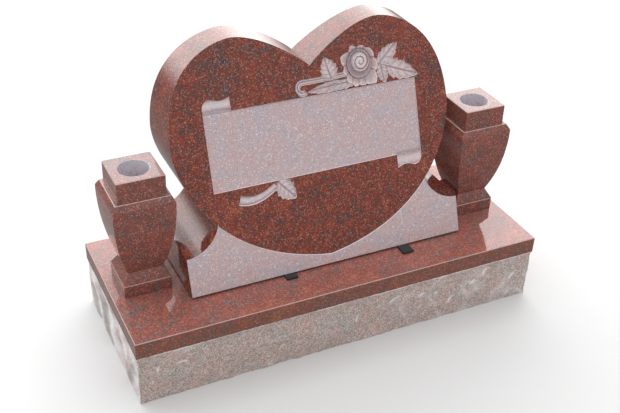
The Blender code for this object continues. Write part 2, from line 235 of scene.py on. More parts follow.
def bruisedGraniteAndPaintedHighlight():
    # pale cut walls: partly real bruising of the crystals, partly a painted highlight along the edges
    finish = Finish("bruisedArrisAndPaintedHighlight")
    pits = finish.cloud(700.0, 2.0, 0.7)
    color = finish.mix(0.72, frostedColour(finish), (0.84, 0.76, 0.76))
    return finish.set(Base_Color=color, Roughness=pits * 0.2 + 0.65, Normal=finish.bump(pits, 0.0004, 0.6))


def carvedGranite():
    # the carving: painted highlight on its high parts and painted shade in its hollows, both set by how deep it
    # is cut
    finish = Finish("carvedGranite")
    hollow = finish.make("ShaderNodeAttribute", "Fac", {"attribute_name": "hollow"})
    pits = finish.cloud(620.0, 3.0, 0.7)
    # painted shade: the deeper the carving, the darker its colour
    color = finish.mix((hollow * 1.6 - 0.52).clamped() * 0.60, frostedColour(finish), (0.20, 0.145, 0.150))
    # painted highlight: the shallower the carving, the paler its colour
    color = finish.mix((0.40 - hollow).clamped() * 2.0, color, (0.84, 0.75, 0.76))
    return finish.set(Base_Color=color, Roughness=pits * 0.2 + 0.66, Normal=finish.bump(pits, 0.0005, 0.6))


def pitchedGranite():
    # broken stone under the margin: mottled, and white where the tool bruised it
    finish = Finish("pitchedGranite")
    bruise = finish.make("ShaderNodeAttribute", "Fac", {"attribute_name": "bruise"})
    stain = finish.make("ShaderNodeAttribute", "Fac", {"attribute_name": "stain"})
    drift = finish.cloud(30.0, 5.0, 0.65)
    crystals = finish.grains(granite["crystal"])
    flecks = finish.grains(granite["fleck"])
    color = finish.ramp(crystals * 0.38 + drift * 1.9 - 0.66,
                        [(0.08, (0.32, 0.31, 0.27)), (0.30, (0.52, 0.43, 0.41)), (0.48, (0.37, 0.28, 0.24)),
                         (0.68, (0.56, 0.42, 0.39)), (0.92, (0.50, 0.27, 0.22))])
    color = finish.mix(flecks.above(0.78) * 0.50, color, (0.15, 0.105, 0.09))
    color = finish.mix((1.0 - flecks).above(0.86) * 0.45, color, chalky)
    speck = finish.cloud(240.0, 3.0, 0.7)
    chalk = (bruise * 1.5 + (speck - 0.5) * 1.2 - 0.35).clamped()
    color = finish.mix(chalk * 0.85, color, (0.80, 0.775, 0.80))
    color = finish.mix((stain + (drift - 0.5) * 0.8 - 0.25).clamped() * 0.75, color, (0.27, 0.275, 0.245))
    return finish.set(Base_Color=color, Roughness=0.88 - crystals * 0.12,
                      Normal=finish.bump(speck + crystals * 0.5, 0.0010, 0.8))


def boredGranite():
    # the cored socket: dull and dusty
    finish = Finish("boredGranite")
    flecks = finish.grains(granite["fleck"])
    dust = finish.cloud(60.0, 4.0)
    color = finish.mix(dust, (0.565, 0.52, 0.575), (0.73, 0.68, 0.72))
    color = finish.mix(flecks.above(0.80) * 0.5, color, (0.30, 0.26, 0.30))
    return finish.set(Base_Color=color, Roughness=dust * 0.2 + 0.7, Normal=finish.bump(dust, 0.0006, 0.6))


def packerBlack():
    finish = Finish("packerBlack")
    scuff = finish.cloud(240.0, 4.0, 0.6)
    return finish.set(Base_Color=finish.mix(scuff * 0.5, (0.012, 0.013, 0.015), (0.045, 0.045, 0.048)),
                      Roughness=scuff * 0.3 + 0.45, Normal=finish.bump(scuff, 0.0003, 0.5))


finishes = {"heart": polishedGranite("heartGranite", 1.0), "base": polishedGranite("baseGranite", 1.40, 0.09),
            "urn": polishedGranite("urnGranite", 0.96, 0.055), "margin": marginGranite(),
            "easedPaintedHighlight": easedGraniteWithPaintedHighlight(), "frosted": frostedGranite(), "bruisedAndPaintedHighlight": bruisedGraniteAndPaintedHighlight(),
            "carved": carvedGranite(), "pitched": pitchedGranite(), "bored": boredGranite(),
            "packer": packerBlack()}
print("stage: finishes", len(finishes))

nearly = 1e-5          # metres: places closer than this are the same


def makePiece(name, bm, materials, sharpAngle=32.0):
    bmesh.ops.recalc_face_normals(bm, faces=bm.faces)
    mesh = bpy.data.meshes.new(name)
    bm.to_mesh(mesh)
    bm.free()
    for material in materials:
        mesh.materials.append(material)
    piece = bpy.data.objects.new(name, mesh)
    bpy.context.scene.collection.objects.link(piece)
    shadeByAngle(piece, sharpAngle)
    return piece


def shadeByAngle(piece, sharpAngle, manyCorners=12):
    # smooth but for sharp edges, and the large flat faces, which have many corners, stay quite flat
    piece.data.shade_smooth()
    piece.data.set_sharp_from_angle(angle=math.radians(sharpAngle))
    for face in piece.data.polygons:
        if len(face.vertices) > manyCorners:
            face.use_smooth = False


def cutAway(piece, cutters, sharpAngle=32.0):
    # takes the cutters out of the piece, whose cut faces keep the cutters' materials
    for cutter in cutters:
        boolean = piece.modifiers.new(cutter.name, "BOOLEAN")
        boolean.operation = "DIFFERENCE"
        boolean.solver = "EXACT"
        boolean.material_mode = "TRANSFER"
        boolean.object = cutter
    graph = bpy.context.evaluated_depsgraph_get()
    finished = bpy.data.meshes.new_from_object(piece.evaluated_get(graph))
    piece.modifiers.clear()
    piece.data = finished
    for cutter in cutters:
        bpy.data.objects.remove(cutter, do_unlink=True)
    shadeByAngle(piece, sharpAngle)


def softenArrises(bm, edges, width, segments=1, slot=None):
    made = bmesh.ops.bevel(bm, geom=edges, offset=width, offset_type="OFFSET", segments=segments, profile=0.5,
                           affect="EDGES", material=-1, clamp_overlap=True)
    if slot is not None:
        for f in made["faces"]:
            f.material_index = slot


def growFace(bm, face, keep=False):
    # extrudes a face and returns the new one; the old one would be left inside
    grown = bmesh.ops.extrude_face_region(bm, geom=[face])["geom"]
    if not keep and face.is_valid:
        bmesh.ops.delete(bm, geom=[face], context="FACES_ONLY")
    return next(g for g in grown if isinstance(g, bmesh.types.BMFace))


def curve(start, first, second, end, steps):
    # points of a cubic curve, without its last one
    points = []
    for i in range(steps):
        t = i / steps
        weights = ((1 - t) ** 3, 3 * t * (1 - t) ** 2, 3 * t * t * (1 - t), t ** 3)
        points.append(tuple(sum(w * p[axis] for w, p in zip(weights, (start, first, second, end)))
                            for axis in (0, 1)))
    return points


# Base slab: heights from the ground, and how fine and how deep its scoops, chips and grit are
baseSlab = {"margin": 0.036, "arris": 0.0014, "pitchDepth": 0.0070, "meshStep": 0.0032, "lip": 0.0010,
            "scoop": 15.0, "chip": 47.0, "grit": 170.0, "leastFall": 0.22, "scoopFall": 0.75, "chipFall": 0.50,
            "gritFall": 0.10, "strokeFall": 0.25, "strokeWidth": 0.0024, "bruiseLine": 0.0062, "settle": 0.012,
            # white strokes left by the chisel on the front: along, up, half length, lean in degrees
            "strokes": ((-0.4145, 0.072, 0.0095, 80), (-0.3646, 0.078, 0.0110, -4), (0.107, 0.086, 0.016, 25),
                        (0.176, 0.079, 0.007, 15), (0.213, 0.070, 0.004, 10), (0.305, 0.074, 0.008, 38),
                        (0.336, 0.091, 0.009, 60), (0.02, 0.062, 0.010, 70), (-0.15, 0.045, 0.008, 35),
                        (0.25, 0.040, 0.012, 65), (0.41, 0.060, 0.010, 50))}


def strokeMark(x, z):
    # how white a chisel stroke makes the front face at a place
    mark = 0.0
    for along, up, half, lean in baseSlab["strokes"]:
        dx, dz = x - along, z - up
        turn = math.radians(lean)
        forward = dx * math.cos(turn) + dz * math.sin(turn)
        across = dz * math.cos(turn) - dx * math.sin(turn) + 12.0 * forward * forward
        mark = max(mark, math.exp(-(across / baseSlab["strokeWidth"]) ** 2 - (forward / half) ** 4))
    return mark


def pitchedFall(place, margin):
    # how far the broken face lies behind the margin (scoops with ridges between, chips, grit),
    # how white it is bruised and how dark it is stained
    b = baseSlab
    broad = noise.noise(place * b["scoop"])
    chip = noise.noise(place * b["chip"] + Vector((3.0, 1.0, 7.0)))
    grit = noise.fractal(place * b["grit"], 0.9, 2.0, 3)
    fall = b["leastFall"] + b["scoopFall"] * abs(broad) + b["chipFall"] * abs(chip) + b["gritFall"] * grit
    ridge = math.exp(-(broad / 0.07) ** 2) + 0.6 * math.exp(-(chip / 0.06) ** 2)
    bruise = 0.24 * ridge + 0.9 * max(0.0, 1.0 - margin / b["bruiseLine"])
    stain = 0.0
    if place.x < baseLow.x + nearly:
        # the left end is bruised nearly all over, with darker patches left between
        bruise += 0.60 + 0.6 * noise.noise(place * 24.0)
        stain = max(0.0, noise.noise(place * 19.0 + Vector((5.0, 2.0, 0.0))) - 0.03) * 3.4
    elif place.y < baseLow.y + nearly:
        mark = strokeMark(place.x, place.z)
        bruise += 1.1 * mark + 0.30 * max(0.0, place.x / baseHigh.x) + 0.25 * noise.noise(place * 26.0)
        fall += b["strokeFall"] * mark
        stain = max(0.0, noise.noise(place * 12.0)) * 0.5
    return min(max(fall, 0.02), 1.0), min(max(bruise, 0.0), 1.0), min(stain, 1.0)


def buildBase():
    low, high = baseLow, baseHigh
    slots = ["base", "pitched", "easedPaintedHighlight", "margin"]
    bm = bmesh.new()
    bmesh.ops.create_grid(bm, x_segments=1, y_segments=1, size=0.5)
    bmesh.ops.scale(bm, vec=(high.x - low.x, high.y - low.y, 1.0), verts=bm.verts)
    bmesh.ops.translate(bm, vec=((low.x + high.x) / 2, (low.y + high.y) / 2, low.z), verts=bm.verts)
    bmesh.ops.delete(bm, geom=bm.faces[:], context="FACES_ONLY")
    for axis in (0, 1):
        sides = [e for e in bm.edges if abs(e.verts[0].co[axis] - e.verts[1].co[axis]) > 0.05]
        cuts = round((high[axis] - low[axis]) / baseSlab["meshStep"]) - 1
        bmesh.ops.subdivide_edges(bm, edges=sides, cuts=cuts)
    face = bmesh.ops.contextual_create(bm, geom=bm.edges[:])["faces"][0]
    marginFoot = high.z - baseSlab["margin"]
    rows = round((marginFoot - low.z) / baseSlab["meshStep"])
    for i in range(rows):
        face = growFace(bm, face, keep=i == 0)
        bmesh.ops.translate(bm, vec=(0, 0, (marginFoot - low.z) / rows), verts=face.verts)
    topFace = growFace(bm, face)
    bmesh.ops.translate(bm, vec=(0, 0, high.z - marginFoot), verts=topFace.verts)
    for f in bm.faces:
        centre = f.calc_center_median().z
        if centre < marginFoot + nearly:
            f.material_index = slots.index("pitched")
        elif centre < high.z - nearly:
            f.material_index = slots.index("margin")
    bruiseLayer = bm.verts.layers.float.new("bruise")
    stainLayer = bm.verts.layers.float.new("stain")
    # the highest broken ring stays a little inside the margin's edge, so the margin keeps a clear lip
    for v in bm.verts:
        if v.co.z > marginFoot + nearly:
            continue
        margin = marginFoot - v.co.z
        place = v.co.copy()
        fall, v[bruiseLayer], v[stainLayer] = pitchedFall(place, margin)
        depth = baseSlab["pitchDepth"] * fall * min(1.0, 0.14 + margin / baseSlab["settle"])
        if margin < nearly:
            v.co.z -= baseSlab["lip"] * (1.0 + noise.noise(place * 160.0))
        if min(abs(place.x - low.x), abs(place.x - high.x)) < nearly:
            v.co.x -= math.copysign(depth, place.x)
        if min(abs(place.y - low.y), abs(place.y - high.y)) < nearly:
            v.co.y -= math.copysign(depth, place.y)
    softenArrises(bm, topFace.edges[:], baseSlab["arris"], 2, slots.index("easedPaintedHighlight"))
    return makePiece("baseSlab", bm, [finishes[name] for name in slots], 20.0)


# Heart stone: heights above the base top, as the CAD solid has them
heartStone = {"crownThick": 0.064, "cradleProud": 0.003, "cradleEnd": 0.080, "wingRadius": 0.080,
              "heartHalf": 0.3105, "heartWidest": 0.283, "crown": 0.4690, "crownOffset": 0.160, "cleft": 0.395,
              "cleftAngle": 45.0, "point": 0.0226, "pointAngle": 7.4, "arris": 0.0012, "cutterClear": 0.02}

# Scroll panel and carving, sunk into the heart's face
carving = {"panelHalf": 0.2365, "panelLow": 0.190, "panelHigh": 0.338, "panelSunk": 0.0022,
           "curlLength": 0.059, "curlRise": 0.027, "curlSunk": 0.0036, "line": 0.0016, "sunk": 0.0058,
           "teeth": 5}

footHeight = stoneLow.z - baseTop
slope = (stoneHigh.y - stoneLow.y - heartStone["crownThick"]) / (heartStone["crown"] - footHeight)


def faceY(height, depth=0.0):
    # the heart's slanted face at a height above the base top, depth into the stone
    return stoneLow.y + slope * (height - footHeight) + heartStone["cradleProud"] + depth


def heartLobe():
    h = heartStone
    cleftAngle = math.radians(h["cleftAngle"])
    pointAngle = math.radians(h["pointAngle"])
    crown = (h["crownOffset"], h["crown"])
    side = (h["heartHalf"], h["heartWidest"])
    width = h["heartHalf"] - h["crownOffset"]
    rise = h["crown"] - h["heartWidest"]
    drop = h["heartWidest"] - h["point"]
    lead = 0.14 * h["crownOffset"]
    reach = 0.83 * h["heartHalf"]
    points = curve((0.0, h["cleft"]), (lead * math.cos(cleftAngle), h["cleft"] + lead * math.sin(cleftAngle)),
                   (0.62 * h["crownOffset"], h["crown"]), crown, 34)
    points += curve(crown, (h["crownOffset"] + 0.14 * width, h["crown"]),
                    (h["heartHalf"], h["heartWidest"] + 0.91 * rise), side, 44)
    points += curve(side, (h["heartHalf"], h["heartWidest"] - 0.22 * drop),
                    (reach * math.cos(pointAngle), h["point"] + reach * math.sin(pointAngle)),
                    (0.0, h["point"]), 76)
    return points + [(0.0, h["point"])]


def cradleWing(outline):
    # where the heart's outline meets the wing's hollow, and the hollow's arc down to the end
    h = heartStone
    centre = (stoneHigh.x, h["cradleEnd"] + h["wingRadius"])
    gaps = [math.dist(p, centre) - h["wingRadius"] for p in outline]
    last = max(i for i, gap in enumerate(gaps) if gap < 0 and outline[i][1] < h["heartWidest"])
    part = gaps[last] / (gaps[last] - gaps[last + 1])
    meet = tuple(p + (q - p) * part for p, q in zip(outline[last], outline[last + 1]))
    first = math.atan2(meet[1] - centre[1], meet[0] - centre[0])
    steps = 30
    arc = []
    for i in range(1, steps + 1):
        angle = first + (-math.pi / 2 - first) * i / steps
        arc.append((centre[0] + h["wingRadius"] * math.cos(angle),
                    centre[1] + h["wingRadius"] * math.sin(angle)))
    return meet, arc


def mirrored(points):
    return [(-x, z) for x, z in reversed(points)]


def uprightSlab(outline, front, back):
    # a block with that outline (x, height), between two surfaces y = f(height)
    bm = bmesh.new()
    face = bm.faces.new([bm.verts.new((x, 0.0, z)) for x, z in outline])
    grown = bmesh.ops.extrude_face_region(bm, geom=[face])["geom"]
    behind = {g for g in grown if isinstance(g, bmesh.types.BMVert)}
    for v in bm.verts:
        v.co.y = back(v.co.z) if v in behind else front(v.co.z)
    bmesh.ops.translate(bm, vec=(0, 0, baseTop), verts=bm.verts)
    return bm


def sunkCutter(name, outline, depth, step):
    # a cutter whose far side is the carved surface; its edge walls are pale, partly real bruising and partly a
    # painted highlight
    floorFinish = "frosted" if name == "cutPanel" else "carved"
    bm = bmesh.new()
    bm.faces.new([bm.verts.new((x, 0.0, z)) for x, z in outline])
    for axis, normal in ((0, (1, 0, 0)), (1, (0, 0, 1))):
        low = min(p[axis] for p in outline)
        high = max(p[axis] for p in outline)
        count = max(1, round((high - low) / step))
        for i in range(1, count):
            at = low + (high - low) * i / count
            place = (at, 0, 0) if axis == 0 else (0, 0, at)
            bmesh.ops.bisect_plane(bm, geom=bm.verts[:] + bm.edges[:] + bm.faces[:], dist=1e-6,
                                   plane_co=place, plane_no=normal)
    floorVerts = bm.verts[:]
    grown = bmesh.ops.extrude_face_region(bm, geom=bm.faces[:])["geom"]
    frontVerts = {g for g in grown if isinstance(g, bmesh.types.BMVert)}
    for f in bm.faces:
        atFront = sum(v in frontVerts for v in f.verts)
        f.material_index = 0 if atFront in (0, len(f.verts)) else 1
    for v in frontVerts:
        v.co.y = faceY(v.co.z) - heartStone["cutterClear"]
    for v in floorVerts:
        v.co.y = faceY(v.co.z, depth(v.co.x, v.co.z))
    bmesh.ops.translate(bm, vec=(0, 0, baseTop), verts=bm.verts)
    bmesh.ops.triangulate(bm, faces=bm.faces[:])
    return makePiece(name, bm, [finishes[floorFinish], finishes["bruisedAndPaintedHighlight"]])


def insideOutline(x, z, outline):
    inside = False
    for (ax, az), (bx, bz) in zip(outline, outline[1:] + outline[:1]):
        if (az > z) != (bz > z) and x < (bx - ax) * (z - az) / (bz - az) + ax:
            inside = not inside
    return inside


def panelOutline():
    c = carving
    return [(-c["panelHalf"], c["panelLow"]), (c["panelHalf"], c["panelLow"]),
            (c["panelHalf"], c["panelHigh"]), (-c["panelHalf"], c["panelHigh"])]


def curlOutline(turned):
    # the rolled corner of the scroll: at the upper left, or turned half round at the lower right
    c = carving
    inner = -c["panelHalf"] + c["curlLength"]
    top = c["panelHigh"] + c["curlRise"]
    low = c["panelHigh"] - 0.004
    edge = [(-c["panelHalf"], low), (inner, low), (inner, top)]
    edge += curve((inner, top), (inner - 0.016, top - 0.008), (inner - 0.026, top - 0.006),
                  (inner - 0.036, top - 0.002), 12)[1:]
    edge += curve((inner - 0.036, top - 0.002), (inner - 0.047, top + 0.003), (-c["panelHalf"], top - 0.006),
                  (-c["panelHalf"], c["panelHigh"] + 0.008), 14)
    if turned:
        middle = c["panelLow"] + c["panelHigh"]
        edge = [(-x, middle - z) for x, z in edge]
    return edge


def curlDepth(x, z):
    # rolled cloth, round across its height, with a cut line where it meets the panel
    c = carving
    middle = (c["panelLow"] + c["panelHigh"]) / 2
    rise = (abs(z - middle) - (c["panelHigh"] - c["panelLow"]) / 2) / c["curlRise"]
    roll = c["curlSunk"] * (1.0 - 0.66 * math.sin(math.pi * min(max(rise, 0.0), 1.0)))
    line = c["line"] * math.exp(-((rise - 0.06 - 0.10 * math.cos(abs(x) * 60)) / 0.055) ** 2)
    return roll + line


# The rose: direction in degrees, reach, and half the spread in degrees of each outer petal
bloom = {"centre": (0.112, 0.381), "ring": 0.029, "cup": 0.027, "ball": (0.1145, 0.3855), "ballRadius": 0.0205,
         "turns": 2.3, "aboveGround": 0.002,
         "petals": ((157, 0.046, 34), (115, 0.041, 26), (78, 0.037, 30), (38, 0.039, 46), (-10, 0.042, 40),
                    (-52, 0.054, 34), (-84, 0.044, 26), (-110, 0.044, 24), (-134, 0.043, 26),
                    (-165, 0.040, 34))}


def petalReach(angle):
    # the edge's radius in a direction, and how near it is to the crease between two petals
    reaches = [bloom["ring"], bloom["ring"]]
    for direction, length, spread in bloom["petals"]:
        off = abs((angle - math.radians(direction) + math.pi) % (2 * math.pi) - math.pi)
        reaches.append(length - (length - bloom["ring"]) * (off / math.radians(spread)) ** 1.4)
    reaches.sort()
    crease = math.exp(-((reaches[-1] - reaches[-2]) / 0.0016) ** 2)
    return reaches[-1], crease


def bloomOutline():
    points = []
    count = 180
    for i in range(count):
        angle = 2 * math.pi * i / count
        radius = petalReach(angle)[0] + 0.0004 * math.sin(17 * angle)
        z = bloom["centre"][1] + radius * math.sin(angle)
        points.append((bloom["centre"][0] + radius * math.cos(angle),
                       max(z, carving["panelHigh"] + bloom["aboveGround"])))
    return points


def bloomDepth(x, z):
    # open outer petals round a cup, in the cup a ball of rolled petals
    b = bloom
    dx, dz = x - b["centre"][0], z - b["centre"][1]
    radius = math.hypot(dx, dz)
    angle = math.atan2(dz, dx)
    if radius > b["cup"]:
        rim, crease = petalReach(angle)
        across = min(1.0, (radius - b["cup"]) / max(rim - b["cup"], 0.002))
        fold = math.exp(-((radius - b["cup"]) / 0.0030) ** 2)
        vein = 0.05 * math.sin(34 * angle + 3.0 * math.sin(300 * radius))
        level = 0.66 - 0.56 * across ** 1.6 + 0.55 * crease * (1.0 - 0.35 * across) + 0.34 * fold + vein
        return carving["sunk"] * min(level, 1.05)
    dx, dz = x - b["ball"][0], z - b["ball"][1]
    fromBall = math.hypot(dx, dz) / b["ballRadius"]
    if fromBall > 1.0:
        # the shaded hollow between the ball and the cup's thin rim
        gap = (b["cup"] - radius) / 0.0042
        return carving["sunk"] * (0.14 + 0.88 * min(1.0, gap) ** 0.8)
    turns = fromBall * b["turns"] - math.atan2(dz, dx) / (2 * math.pi)
    part = turns - math.floor(turns)
    groove = math.exp(-((part - 0.90) / 0.11) ** 2)
    dome = 0.10 + 0.30 * fromBall ** 3
    return carving["sunk"] * (dome + 0.20 * part + 0.46 * groove * min(1.0, 3.0 * fromBall))


# Leaves: where each springs from, its tip, and its width to the left and right of the midrib
leaves = {"upper": {"base": (0.150, 0.370), "tip": (0.202, 0.412), "left": 0.0175, "right": 0.0185},
          "right": {"base": (0.163, 0.372), "tip": (0.245, 0.343), "left": 0.0215, "right": 0.0200},
          "hanging": {"base": (0.160, 0.376), "tip": (0.166, 0.337), "left": 0.0145, "right": 0.0150},
          "left": {"base": (0.046, 0.360), "tip": (0.033, 0.406), "left": 0.0200, "right": 0.0215},
          "under": {"base": (0.086, 0.352), "tip": (-0.012, 0.3455), "left": 0.0120, "right": 0.0110},
          "fold": {"base": (0.100, 0.350), "tip": (0.030, 0.349), "left": 0.0110, "right": 0.0090},
          "lower": {"base": (-0.100, 0.188), "tip": (-0.063, 0.149), "left": 0.0210, "right": 0.0215}}
for name, leaf in leaves.items():
    leaf["aboveGround"] = name != "lower"       # the panel's edge cuts off what would run below it


def leafFrame(leaf):
    length = math.dist(leaf["base"], leaf["tip"])
    along = tuple((tip - base) / length for base, tip in zip(leaf["base"], leaf["tip"]))
    return length, along


def leafSwell(t):
    return math.sin(math.pi * t ** 0.8) ** 0.8


def leafOutline(leaf):
    # a pointed leaf, each side with teeth that lean towards the tip
    base = leaf["base"]
    length, along = leafFrame(leaf)
    right, left = [], []
    perTooth = 6
    count = carving["teeth"] * perTooth
    for i in range(1, count):
        t = i / count
        tooth = (i % perTooth) / (perTooth - 1)
        swell = leafSwell(t) * (0.82 + 0.20 * tooth ** 1.5)
        x = base[0] + along[0] * length * t
        z = base[1] + along[1] * length * t
        left.append((x - along[1] * swell * leaf["left"], z + along[0] * swell * leaf["left"]))
        right.append((x + along[1] * swell * leaf["right"], z - along[0] * swell * leaf["right"]))
    outline = [base] + right + [leaf["tip"]] + list(reversed(left))
    ground = carving["panelHigh"] + 0.0006
    return [(x, max(z, ground)) for x, z in outline] if leaf["aboveGround"] else outline


def leafDepth(leaf):
    # each half swells up beside a cut midrib, with side veins, and falls away to the edge
    base = leaf["base"]
    length, along = leafFrame(leaf)

    def depth(x, z):
        forward = ((x - base[0]) * along[0] + (z - base[1]) * along[1]) / length
        across = -(x - base[0]) * along[1] + (z - base[1]) * along[0]
        half = leaf["left"] if across > 0 else leaf["right"]
        share = min(abs(across) / max(leafSwell(min(max(forward, 0.03), 0.97)) * half, 0.002), 1.0)
        midrib = math.exp(-(across / 0.0017) ** 2)
        vein = (0.5 + 0.5 * math.cos(2 * math.pi * (forward * 5.0 - share * 1.1))) ** 3
        veined = vein * min(1.0, 2.5 * share) * (1.1 - share)
        level = 0.30 + 0.26 * (share - 0.5) + 0.55 * midrib + 0.34 * veined
        return carving["sunk"] * min(level, 0.95)
    return depth


# Stems: the rose's own ends in a hook, and a cut one grows out of the lower leaf
hookStem = {"centre": (-0.021, 0.3548), "radius": 0.0104, "width": 0.0122, "endWidth": 0.010, "start": -50,
            "turn": -220, "end": (0.080, 0.368), "ridges": 2}
cutStem = {"start": (-0.1845, 0.1675), "end": (-0.1040, 0.1815), "bow": 0.0235, "width": 0.020,
           "endWidth": 0.0135, "ridges": 1}


def bandOutline(path, stem):
    left, right = [], []
    for i, (x, z) in enumerate(path):
        before = path[max(i - 1, 0)]
        after = path[min(i + 1, len(path) - 1)]
        length = math.dist(before, after)
        half = (stem["width"] + (stem["endWidth"] - stem["width"]) * i / (len(path) - 1)) / 2
        nx, nz = -(after[1] - before[1]) / length, (after[0] - before[0]) / length
        left.append((x + nx * half, z + nz * half))
        right.append((x - nx * half, z - nz * half))
    return left + list(reversed(right))


def bandDepth(path, stem):
    # long ridges that run with the stem, and a groove between one and the next
    def depth(x, z):
        near = min(range(len(path)), key=lambda i: math.dist((x, z), path[i]))
        before, after = path[max(near - 1, 0)], path[min(near + 1, len(path) - 1)]
        length = math.dist(before, after)
        half = (stem["width"] + (stem["endWidth"] - stem["width"]) * near / (len(path) - 1)) / 2
        nx, nz = -(after[1] - before[1]) / length, (after[0] - before[0]) / length
        across = ((x - path[near][0]) * nx + (z - path[near][1]) * nz) / half
        wave = abs(math.cos(math.pi * stem["ridges"] * (across + 1.0) / 2.0 + math.pi / 2.0))
        return carving["sunk"] * (0.86 - 0.62 * wave ** 0.7)
    return depth


def lowerStem():
    start, end = cutStem["start"], cutStem["end"]
    run = end[0] - start[0]
    return curve(start, (start[0] + 0.24 * run, start[1] - 0.32 * cutStem["bow"]),
                 (start[0] + 0.55 * run, end[1] - cutStem["bow"]), end, 34) + [end]


def hookedStem():
    # the hook curls round, then the stem runs on to the rose
    hook = hookStem
    steps = 30
    path = []
    for i in range(steps + 1):
        angle = math.radians(hook["start"] + hook["turn"] * i / steps)
        path.append((hook["centre"][0] + hook["radius"] * math.cos(angle),
                     hook["centre"][1] + hook["radius"] * math.sin(angle)))
    leave = path[-1]
    run = hook["end"][0] - leave[0]
    heading = math.radians(hook["start"] + hook["turn"] - 90)
    first = (leave[0] + 0.25 * run * math.cos(heading), leave[1] + 0.25 * run * math.sin(heading))
    return path[:-1] + curve(leave, first, (leave[0] + 0.6 * run, first[1]), hook["end"], 30) + [hook["end"]]


def covered(depth, covers):
    # a motif that lies under others leaves their ground uncut
    def shown(x, z):
        if any(insideOutline(x, z, cover) for cover in covers):
            return -0.0005
        return depth(x, z)
    return shown


def carvingCutters():
    rose = bloomOutline()
    cutters = [sunkCutter("cutPanel", panelOutline(), lambda x, z: carving["panelSunk"], 1.0),
               sunkCutter("cutUpperCurl", curlOutline(False), curlDepth, 0.0018),
               sunkCutter("cutLowerCurl", curlOutline(True), curlDepth, 0.0018),
               sunkCutter("cutBloom", rose, bloomDepth, 0.0010)]
    shapes = {name: leafOutline(leaf) for name, leaf in leaves.items()}
    topmostFirst = ["hanging", "upper", "right", "left", "fold", "under", "lower"]
    for i, name in enumerate(topmostFirst):
        covers = [rose] + [shapes[other] for other in topmostFirst[:i]]
        cutters.append(sunkCutter("cutLeaf_" + name, shapes[name], covered(leafDepth(leaves[name]), covers),
                                  0.0011))
    hook = hookedStem()
    cutters.append(sunkCutter("cutHook", bandOutline(hook, hookStem),
                              covered(bandDepth(hook, hookStem), [rose, shapes["left"]]), 0.0010))
    stem = lowerStem()
    cutters.append(sunkCutter("cutStem", bandOutline(stem, cutStem),
                              covered(bandDepth(stem, cutStem), [shapes["lower"]]), 0.0012))
    return cutters


def markHollows(stone):
    # how deep each point of the carving lies, for the painted shade and painted highlight of its finish
    layer = stone.data.attributes.new("hollow", "FLOAT", "POINT")
    for v in stone.data.vertices:
        layer.data[v.index].value = min(max((v.co.y - faceY(v.co.z - baseTop)) / carving["sunk"], 0.0), 1.0)


def buildHeartStone():
    h = heartStone
    outline = heartLobe()
    meet, arc = cradleWing(outline)
    upper = [p for p in outline if p[1] > meet[1]]
    lower = [p for p in outline if p[1] < meet[1]]
    right = upper + [meet] + arc + [(stoneHigh.x, footHeight)]
    bm = uprightSlab(right + mirrored(right)[:-1], lambda z: faceY(z) - h["cradleProud"], lambda z: stoneHigh.y)
    bmesh.ops.recalc_face_normals(bm, faces=bm.faces)
    for f in bm.faces:
        f.material_index = 1 if f.normal.y < -0.5 else 0
    stone = makePiece("heartStone", bm, [finishes["heart"], finishes["frosted"], finishes["easedPaintedHighlight"]])
    # the heart's polished face lies a little behind the cradle's
    margin = 0.03                       # how far this cutter passes the stone's own outline
    farX, farZ = stoneHigh.x + margin, h["crown"] + margin
    sweep = [meet] + lower + mirrored(lower)[1:] + [(-meet[0], meet[1])]
    recess = sweep + [(-farX, meet[1] + margin), (-farX, farZ), (farX, farZ), (farX, meet[1] + margin)]
    cutter = uprightSlab(recess, lambda z: faceY(z) - h["cutterClear"], faceY)
    bmesh.ops.recalc_face_normals(cutter, faces=cutter.faces)
    for f in cutter.faces:
        f.material_index = 0 if abs(f.normal.y) > 0.5 else 1
    # the step wall between the cradle and the heart's face gets the pale finish: partly bruising, partly a
    # painted highlight
    cutAway(stone, [makePiece("cutHeartFace", cutter, [finishes["heart"], finishes["bruisedAndPaintedHighlight"]])])
    # soft arrises all round the outer edges, front and back
    bm = bmesh.new()
    bm.from_mesh(stone.data)
    bmesh.ops.remove_doubles(bm, verts=bm.verts, dist=1e-6)
    edges = [e for e in bm.edges if len(e.link_faces) == 2 and e.is_convex
             and e.calc_face_angle(0.0) > math.radians(50) and e.calc_length() > 0.0004
             and all(f.calc_area() > 2e-5 for f in e.link_faces)]
    softenArrises(bm, edges, h["arris"], 1, 2)
    bm.to_mesh(stone.data)
    bm.free()
    cutAway(stone, carvingCutters(), 34.0)
    markHollows(stone)
    return stone


# Urn vases: half widths and heights above the base top
urn = {"footHalf": 0.049, "footHeight": 0.028, "neckHalf": 0.036, "neckHeight": 0.050, "shoulderHalf": 0.0625,
       "shoulderHeight": 0.209, "chamferHalf": 0.0545, "chamferHeight": 0.222, "collarHalf": 0.0484,
       "collarHeight": 0.231, "mouthHeight": 0.265, "boreRadius": 0.031, "boreDepth": 0.135,
       "arris": 0.0011, "softArris": 0.0026, "cove": 0.0020, "flare": 0.0012, "seatGap": 0.0003}


def urnProfile():
    u = urn
    swell = u["shoulderHalf"] - u["neckHalf"]
    rise = u["shoulderHeight"] - u["neckHeight"]
    neck = (u["neckHalf"], u["neckHeight"])
    shoulder = (u["shoulderHalf"], u["shoulderHeight"])
    profile = [(u["footHalf"], u["seatGap"]), (u["footHalf"], u["footHeight"])]
    profile += curve(neck, (u["neckHalf"] + 0.52 * swell, u["neckHeight"] + 0.22 * rise),
                     (u["shoulderHalf"] + 0.02 * swell, u["neckHeight"] + 0.55 * rise), shoulder, 22)
    profile += [shoulder, (u["chamferHalf"], u["chamferHeight"])]
    # a narrow ledge, then a small cove up to the collar
    ledge = (u["collarHalf"] + u["cove"], u["chamferHeight"] + 0.0002)
    profile += curve(ledge, (u["collarHalf"] + 0.0004, ledge[1]), (u["collarHalf"], ledge[1] + 0.0006),
                     (u["collarHalf"], u["collarHeight"]), 5)
    profile += [(u["collarHalf"], u["mouthHeight"])]
    return profile


